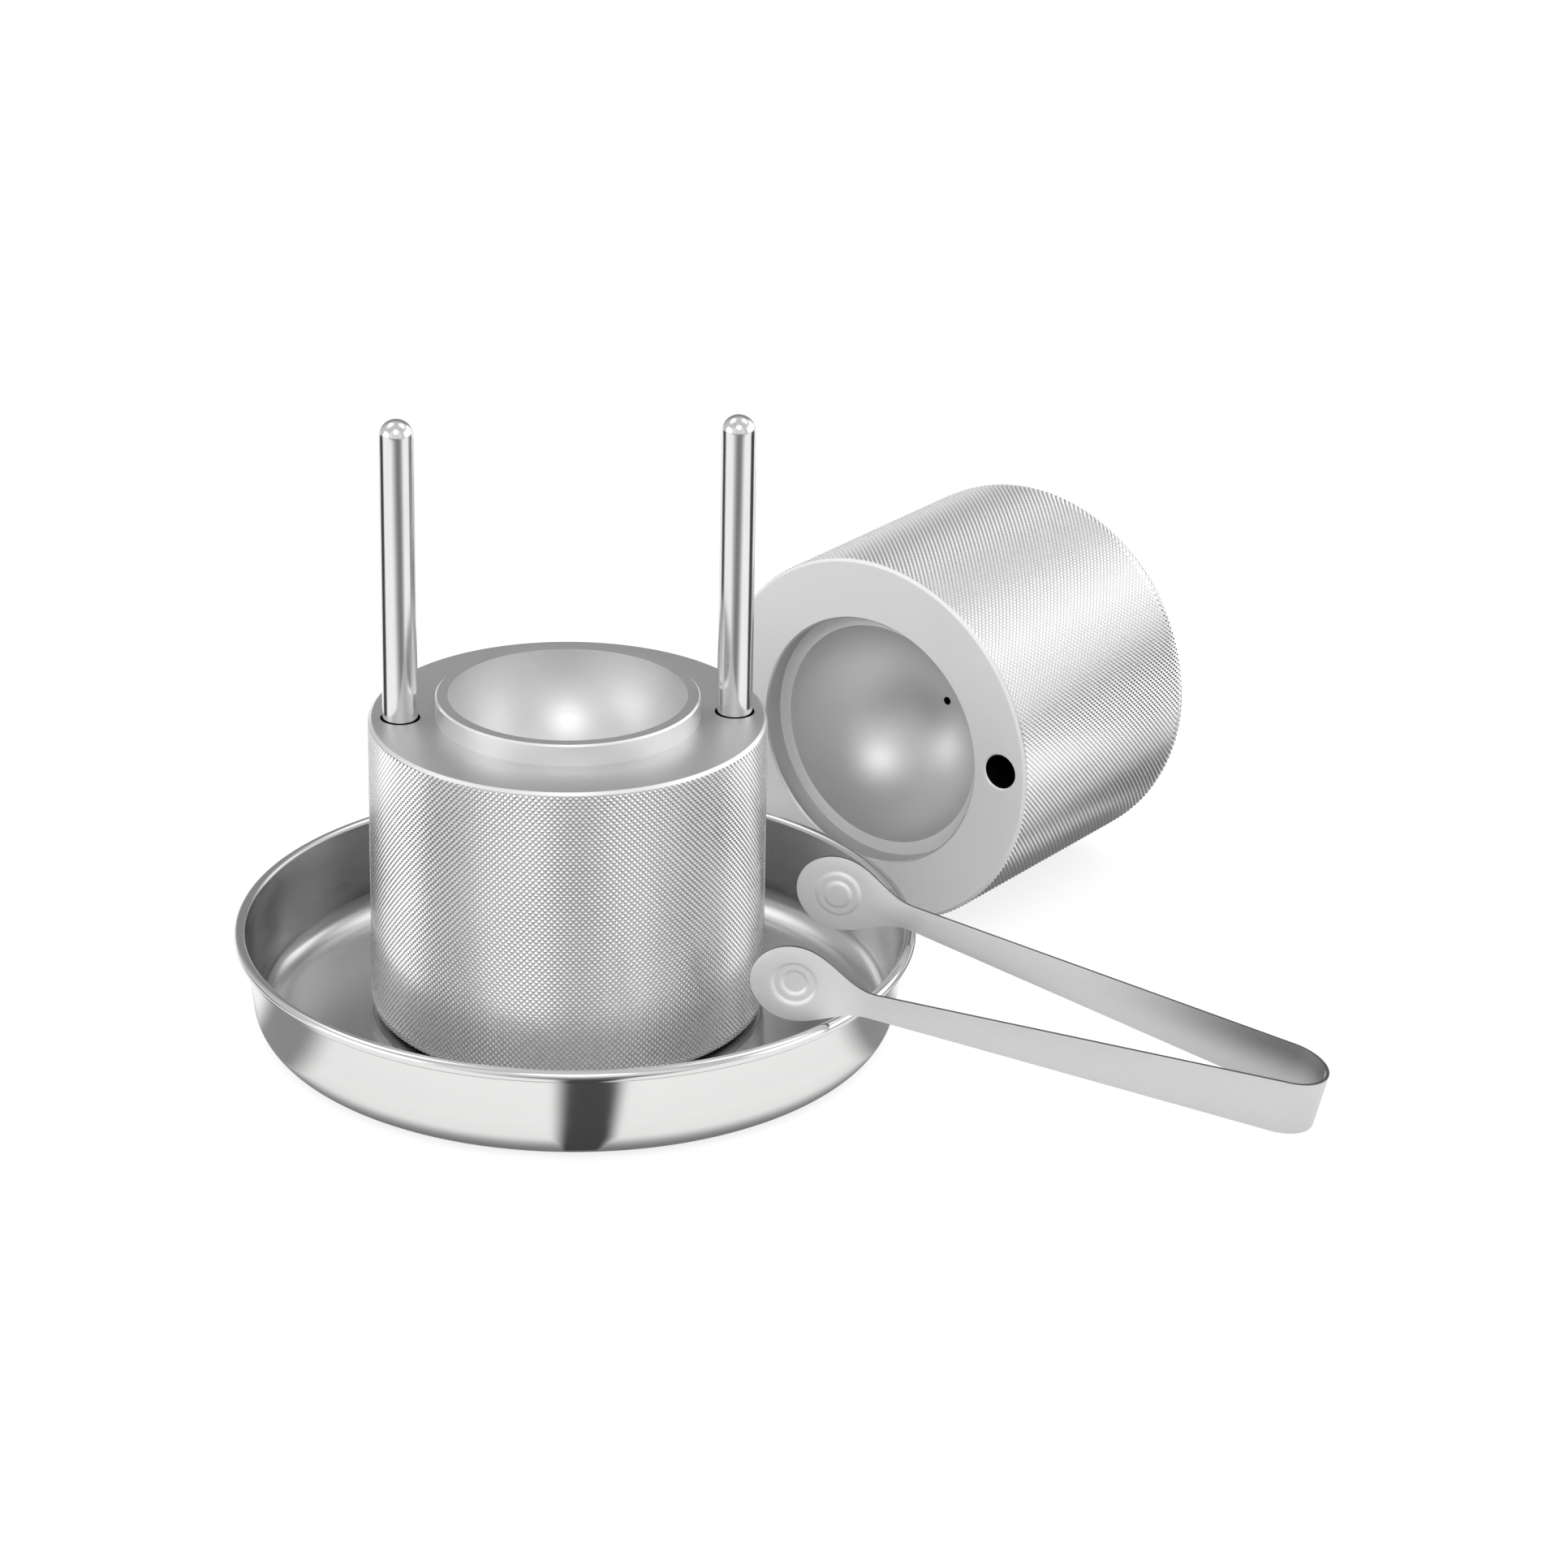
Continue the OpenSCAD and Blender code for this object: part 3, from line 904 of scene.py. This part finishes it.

# %% [markdown]
# ## The metals of each piece
# First come the ways of working. Each holds what it leaves behind: the pattern, its marks
# per millimetre, the bump in millimetres, and how far the marks vary the roughness and
# the colour. Then each piece gets its colour and roughness. The knurls are the least
# rough of the aluminium, since each pyramid's facets are rolled smooth. The knurls, the
# collar and the lying half's face have the aluminium's bright colour. The lower half's
# face, the cavities and the socket wall are darker copies of it, painted shade, and the
# tray's inner faces are a darker copy of its steel, painted shade too. The walls of the
# holes are painted shade, near black. The lying half's parting face is a matt one, so
# part of its light is scattered.

# %% The metals of each piece
def grey(level):
    """A neutral colour."""
    return (level, level, level)


TURNED = dict(pattern=lathe_rings, scale=3.0, bump=0.005, vary=0.04, shade=0.02)
KNURLED = dict(pattern=smudges, scale=0.5, bump=0, vary=0.03, shade=0.03)
PRESSED = dict(pattern=lathe_rings, scale=2.0, bump=0.006, vary=0.03, shade=0.03)
GROUND = dict(pattern=brushed_grain, scale=2.5, bump=0.008, vary=0.03, shade=0.06)
STRIP = dict(pattern=brushed_grain, scale=2.0, bump=0.012, vary=0.05, shade=0.04, metallic=0.5)
SHEARED = dict(pattern=brushed_grain, scale=6.0, bump=0.03, vary=0.05, shade=0.15)
# The blackened screws and the painted shade of the holes share these marks.
BLACKENED_AND_HOLE_SHADE = dict(pattern=smudges, scale=0.8, bump=0.02, vary=0.06, shade=0.06)
BRIGHT = grey(0.96)
# The cavities' colour is a darker copy of the bright aluminium: painted shade.
HOLLOW_SHADE = grey(0.76)
BARE_STEEL = (0.76, 0.76, 0.755)
upright = Matrix.Translation((mould_at.x, mould_at.y, 0))
level_tray = Matrix.Identity(4)
# The lower half's face is a darker copy of the bright aluminium: painted shade.
lower_face_shaded = metal("lower_face_shaded_aluminium", (0.61, 0.61, 0.615), 0.48, upright, **TURNED)
lower_collar = metal("lower_collar_aluminium", BRIGHT, 0.36, upright, **TURNED)
lower_hollow = metal("lower_cavity_aluminium", HOLLOW_SHADE, 0.42, upright, **TURNED)
lower_knurl = metal("lower_knurled_aluminium", BRIGHT, 0.26, upright, **KNURLED)
# Painted shade between the crests of the lower half's knurl.
paint_groove_shade(lower_knurl, 0.58)
upper_faced = metal("upper_faced_aluminium", BRIGHT, 0.6, lying_place, metallic=0.25, **TURNED)
upper_hollow = metal("upper_cavity_aluminium", HOLLOW_SHADE, 0.42, lying_place, **TURNED)
upper_knurl = metal("upper_knurled_aluminium", BRIGHT, 0.3, lying_place, **KNURLED)
# Painted shade between the crests of the lying half's knurl.
paint_groove_shade(upper_knurl, 0.64)
# The socket wall is a darker copy of the bright aluminium: painted shade.
socket_wall_shade = metal("socket_wall_shade_aluminium", grey(0.58), 0.4, lying_place, **TURNED)
# The walls of the holes are painted shade, near black. The screws are blackened steel.
hole_painted_shade = metal("drilled_hole_painted_shade", grey(0.03), 0.5, upright, **BLACKENED_AND_HOLE_SHADE)
screw_black = metal("screw_blackened_steel", (0.12, 0.12, 0.125), 0.4, upright, **BLACKENED_AND_HOLE_SHADE)
tray_polish = metal("tray_polished_steel", (0.74, 0.735, 0.73), 0.15, level_tray, **PRESSED)
# The tray's inner faces are a darker copy of its steel: painted shade on a satin finish.
tray_satin_shaded = metal("tray_satin_shaded_steel", grey(0.56), 0.2, level_tray, **PRESSED)
rod_finish = {}
for name, (centre, foot, tip) in rods.items():
    standing = Matrix.Translation((centre.x, centre.y, 0)) @ Matrix.Rotation(math.pi / 2, 4, "Y")
    rod_finish[name] = metal(name + "_ground_steel", BARE_STEEL, 0.16, standing, **GROUND)
tongs_satin = metal("tongs_satin_steel", BARE_STEEL, 0.55, tongs_place, **STRIP)
# The fold's copy of the satin steel carries painted shade towards the bow.
tongs_fold_shade = metal("tongs_satin_fold_shade", BARE_STEEL, 0.55, tongs_place, **STRIP)
tongs_edge = metal("tongs_sheared_edge", grey(0.18), 0.4, tongs_place, **SHEARED)
shade_fold(tongs_fold_shade)
brighten_pads(tongs_satin, 1.2)
brighten_pads(tongs_fold_shade, 1.25)
print("materials:", len(bpy.data.materials))

# %% [markdown]
# ## Dressing the halves
# Each piece gets its finish, rides on its body and stands for its CAD node. A half has
# six finishes, and each of its faces gets one by its place on the half's own axis.

# %% Dressing the halves
FACE, COLLAR, CAVITY, KNURL, HOLE, CHAMFER = range(6)
WALL_TILT = 0.3
NEAR = 0.1 * MM


def dress_half(piece, place, finishes, ball_at, holes, node, body):
    """Sorts the faces of a half into its finishes, and gives it to its body."""
    home = place.inverted()
    piece.data.materials.clear()
    for finish in finishes:
        piece.data.materials.append(finish)
    crest = piece.data.attributes["crest"].data
    for face in piece.data.polygons:
        centre = home @ face.center
        out = math.hypot(centre.x, centre.y)
        is_wall = abs((home.to_3x3() @ face.normal).z) < WALL_TILT
        in_hole = any(math.hypot(centre.x - x, centre.y - y) < r for x, y, r in holes)
        has_crest = max(crest[i].value for i in face.vertices) > 0.5
        # The walls of the holes get the painted shade, near black.
        if is_wall and in_hole:
            face.material_index = HOLE
        elif out > groove_r - NEAR or has_crest:
            face.material_index = KNURL
        elif (centre - ball_at).length < ball_r + 2 * NEAR:
            face.material_index = CAVITY
        elif abs(out - collar_r) < 6 * NEAR:
            face.material_index = COLLAR
        elif out > mould_r - face_chamfer:
            face.material_index = CHAMFER
        else:
            face.material_index = FACE
    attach(piece, body)
    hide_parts(node)
    print(piece.name, "dressed,", len(piece.data.polygons), "faces")


lower_finishes = (
    lower_face_shaded, lower_collar, lower_hollow, lower_knurl, hole_painted_shade, lower_collar,
)
entry_holes = [
    (centre.x - mould_at.x, centre.y - mould_at.y, entry_r + NEAR)
    for centre, foot, tip in rods.values()
]
ball_at = Vector((0, 0, collar_top))
dress_half(lower_half, upright, lower_finishes, ball_at, entry_holes, "lower_mould", "lower_half")
upper_finishes = (
    upper_faced, socket_wall_shade, upper_hollow, upper_knurl, hole_painted_shade, upper_faced,
)
bore_holes = [(0, side * guide_r, bore_r + NEAR) for side in (-1, 1)]
bore_holes.append((0, 0, vent_r + NEAR))
ball_at = Vector((0, 0, socket_h))
dress_half(upper_half, lying_place, upper_finishes, ball_at, bore_holes, "upper_mould", "upper_half")

# %% [markdown]
# ## Dressing the rods, the tray and the tongs
# The tray is polished outside and on its bead, and satin on its inner faces, whose
# colour is darker by painted shade. The strip's faces that look at the other arm get the
# painted shade of the fold. Its sheared edges have had their own material since
# Solidify, and only the stand-ins are exchanged.

# %% Dressing the rods, the tray and the tongs
for rod, name in zip(rod_pieces, rods):
    rod.data.materials.append(rod_finish[name])
    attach(rod, "lower_half")
    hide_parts(name)
for name in ("left_rod_screw", "right_rod_screw"):
    frame["nodes"][name].data.materials.clear()
    frame["nodes"][name].data.materials.append(screw_black)
tray.data.materials.append(tray_polish)
tray.data.materials.append(tray_satin_shaded)
# Inner faces get the satin steel with painted shade.
for face in tray.data.polygons:
    out = math.hypot(face.center.x, face.center.y)
    inwards = face.normal.x * face.center.x + face.normal.y * face.center.y < 0.1 * out
    face.material_index = int(inwards and out < wall_top_r and face.normal.z > -0.2)
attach(tray, "tray")
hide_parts("drip_tray")
for strip in (near_arm, far_arm, near_bow, far_bow):
    strip.data.materials[0] = tongs_satin
    strip.data.materials[1] = tongs_edge
    strip.data.materials.append(tongs_fold_shade)
    inwards = near_way if strip in (far_arm, far_bow) else -near_way
    for face in strip.data.polygons:
        # Faces that look at the other arm get the painted shade of the fold.
        if face.material_index == 0 and face.normal.dot(inwards) > 0.2:
            face.material_index = 2
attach(near_arm, "near_arm")
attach(far_arm, "far_arm")
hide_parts("tongs_near_arm")
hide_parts("tongs_far_arm")
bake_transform(near_bow)
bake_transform(far_bow)
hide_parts("tongs_bow")
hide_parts("tongs_bow")

# %% [markdown]
# ## Table
# The table is one large plane, just under the pieces that rest on it. A spot on it is
# told by its turn from straight in front, the same on both sides, and by its reach from
# the tray's axis.

# %% Table
bpy.ops.object.select_all(action="DESELECT")
bpy.ops.mesh.primitive_plane_add(size=24, location=(0, 0, -0.2 * MM))
table = bpy.context.object
table.name = "table"
white = bpy.data.materials.new("white_table")
white.use_nodes = True
table.data.materials.append(white)
tree = white.node_tree
tree.nodes.clear()
spot = tree.nodes.new("ShaderNodeTexCoord").outputs["Object"]
x, y, z = split_axes(tree, spot)
turn = turn_from_front(tree, x, y)
on_left = maths(tree, "LESS_THAN", x, 0)
squares = [maths(tree, "POWER", side, 2) for side in (x, y)]
reach = maths(tree, "SQRT", plus(tree, *squares))
print("table size in m:", [round(v, 2) for v in table.dimensions])

# %% [markdown]
# ## Black cards and painted shade
# Polished metal shows the room, so the room is part of the picture. Where a photographer
# would lay black cards on the table, the metals see it darker. A wedge in front of the
# tray widens towards the viewer and draws the dark lines down the rods and the tray. Its
# core and fringe are counted in half widths, and it softens on its way. Near cards lie
# at the tray's sides, a little farther forward and out on the left, and far cards lie
# out at the sides. A ring round the tray's foot is a painted shadow, and a strip along
# the right of the lying half, beside its axis, is painted shade, both seen only in the
# metals.

# %% Black cards and painted shade
wedge_from = 71 * MM
wedge_at = 4.7 * MM
wedge_drift = 0.217
wedge_half_width = 5.5 * MM
wedge_spread = 0.26
soften_from = 34 * MM
soften_to = 70 * MM
past_tray = minus(tree, times(tree, y, -1), wedge_from)
middle = plus(tree, times(tree, past_tray, wedge_drift), wedge_at)
half_width = plus(tree, times(tree, past_tray, wedge_spread), wedge_half_width)
off_middle = maths(tree, "ABSOLUTE", minus(tree, x, middle))
core = remap(tree, past_tray, soften_from, soften_to, 0.6, 0.3)
fringe = remap(tree, past_tray, soften_from, soften_to, 1.3, 4.4)
depth = remap(tree, past_tray, soften_from, soften_to, 0.93, 0.78)
wedge = remap(tree, maths(tree, "DIVIDE", off_middle, half_width), core, fringe, depth, 0)
wedge = times(tree, wedge, remap(tree, past_tray, -8 * MM, 0, 0, 1))
left_forward = math.radians(12)
left_out = 17 * MM
near_turn = plus(tree, turn, times(tree, on_left, left_forward))
near_reach = minus(tree, reach, times(tree, on_left, left_out))
near_card = turn_band(tree, near_turn, 72, 96, 12)
near_card = times(tree, near_card, remap(tree, near_reach, 92 * MM, 106 * MM, 0.7, 0))
# Painted shadow round the tray's foot, seen only in the metals.
foot_shadow = remap(tree, reach, 70 * MM, 80 * MM, 0.75, 0)
far_card = turn_band(tree, turn, 88, 118, 8)
far_card = times(tree, far_card, remap(tree, reach, 165 * MM, 190 * MM, 0, 0.95))
off_axis = plus(tree, along(tree, spot, -across), face_across)
past_face = minus(tree, along(tree, spot, away), face_along)
# Painted shade beside the lying half, seen only in the metals.
lying_half_shade = band(tree, off_axis, 2 * MM, 75 * MM, 30 * MM)
lying_half_shade = times(tree, lying_half_shade, band(tree, past_face, -4 * MM, 90 * MM, 12 * MM))
lying_half_shade = times(tree, lying_half_shade, 0.8)
cards_and_shade = most(tree, wedge, near_card, foot_shadow, far_card, lying_half_shade)
print("nodes for the cards:", len(tree.nodes))

# %% [markdown]
# ## Table white
# The table is white by its own glow, and its diffuse part keeps a soft shadow. Only
# glossy rays see the cards and the painted shadow and shade.

# %% Table white
diffuse_share = 0.35
glow_share = 0.78
path = tree.nodes.new("ShaderNodeLightPath")
dark = times(tree, cards_and_shade, path.outputs["Is Glossy Ray"])
level_seen = minus(tree, 1, dark)
seen = plus(tree, path.outputs["Is Camera Ray"], path.outputs["Is Glossy Ray"])
seen = maths(tree, "ADD", seen, path.outputs["Is Transmission Ray"], clamp=True)
albedo = times(tree, level_seen, diffuse_share)
paint = tree.nodes.new("ShaderNodeCombineColor")
for label in ("Red", "Green", "Blue"):
    tree.links.new(albedo, paint.inputs[label])
lit = tree.nodes.new("ShaderNodeBsdfDiffuse")
tree.links.new(paint.outputs["Color"], lit.inputs["Color"])
glow = tree.nodes.new("ShaderNodeEmission")
level_glow = times(tree, times(tree, seen, level_seen), glow_share)
tree.links.new(level_glow, glow.inputs["Strength"])
both = tree.nodes.new("ShaderNodeAddShader")
tree.links.new(lit.outputs[0], both.inputs[0])
tree.links.new(glow.outputs[0], both.inputs[1])
output = tree.nodes.new("ShaderNodeOutputMaterial")
tree.links.new(both.outputs[0], output.inputs["Surface"])
print("table ready, nodes:", len(tree.nodes))

# %% [markdown]
# ## Studio
# The world is the studio. Its walls are grey, with soft boxes in front and at the
# sides, and darker at the back. Near the horizon they fade to a level that is dark in
# front and light elsewhere. Overhead is a bright ceiling with a panel to each side, and
# a key box hangs high in front. A left box and a wider right one light the turned sides.

# %% Studio
world = bpy.data.worlds.new("studio")
bpy.context.scene.world = world
world.use_nodes = True
tree = world.node_tree
tree.nodes.clear()
spot = tree.nodes.new("ShaderNodeTexCoord").outputs["Generated"]
x, y, z = split_axes(tree, spot)
turn = turn_from_front(tree, x, y)
on_right = maths(tree, "GREATER_THAN", x, 0)
on_left = minus(tree, 1, on_right)
middle = remap_turn(tree, turn, 8, 20, 0.2, 0)
front_boxes = times(tree, turn_band(tree, turn, 17, 42, 12), 0.3)
left_box = times(tree, turn_band(tree, turn, 48, 88, 16), on_left)
left_box = times(tree, left_box, remap(tree, z, 0.4, 0.55, 2.3, 0))
right_box = times(tree, turn_band(tree, turn, 64, 140, 18), on_right)
right_box = times(tree, right_box, remap(tree, z, 0.45, 0.65, 1.5, 0))
walls = remap_turn(tree, turn, 118, 158, 0.85, 0.38)
for light in (front_boxes, left_box, right_box, middle):
    walls = plus(tree, walls, light)
horizon = remap_turn(tree, turn, 16, 46, 0.25, 0.95)
walls = mix(tree, horizon, walls, remap(tree, z, 0.02, 0.14, 0, 1))
side_panels = turn_band(tree, turn, 92, 148, 30)
side_panels = times(tree, side_panels, remap(tree, z, 0.9, 0.98, 1.5, 0))
overhead = plus(tree, side_panels, 0.85)
room = mix(tree, walls, overhead, remap(tree, z, 0.6, 0.85, 0, 1))
key_height = math.radians(49)
key_edge = math.cos(math.radians(17))
key_core = math.cos(math.radians(9))
key_way = (0.03, -math.cos(key_height), math.sin(key_height))
key_box = remap(tree, along(tree, spot, key_way), key_edge, key_core, 0, 2.4)
sky = tree.nodes.new("ShaderNodeBackground")
tree.links.new(plus(tree, room, key_box), sky.inputs["Strength"])
output = tree.nodes.new("ShaderNodeOutputWorld")
tree.links.new(sky.outputs[0], output.inputs["Surface"])
print("studio ready, nodes:", len(tree.nodes))

# %% [markdown]
# ## Camera
# The camera stands where the photograph was taken: about a metre in front, half a metre
# up, with a long lens and a slight roll.

# %% Camera
standpoint = Vector((0.0468, -1.00415, 0.492486))
pitch = math.radians(23.376)
roll = math.radians(1.115)
forward = Vector((0, math.cos(pitch), -math.sin(pitch)))
upwards = Vector((0, math.sin(pitch), math.cos(pitch)))
right = Vector((1, 0, 0))
rolled_right = math.cos(roll) * right + math.sin(roll) * upwards
rolled_up = -math.sin(roll) * right + math.cos(roll) * upwards
camera_turn = Matrix((rolled_right, rolled_up, -forward)).transposed()
bpy.ops.object.camera_add()
camera = bpy.context.object
camera.data.lens = 111.8
camera.data.sensor_width = 36
camera.matrix_world = Matrix.Translation(standpoint) @ camera_turn.to_4x4()
bpy.context.scene.camera = camera
bpy.context.scene.view_settings.view_transform = "Standard"
print("camera at", [round(v, 3) for v in standpoint])
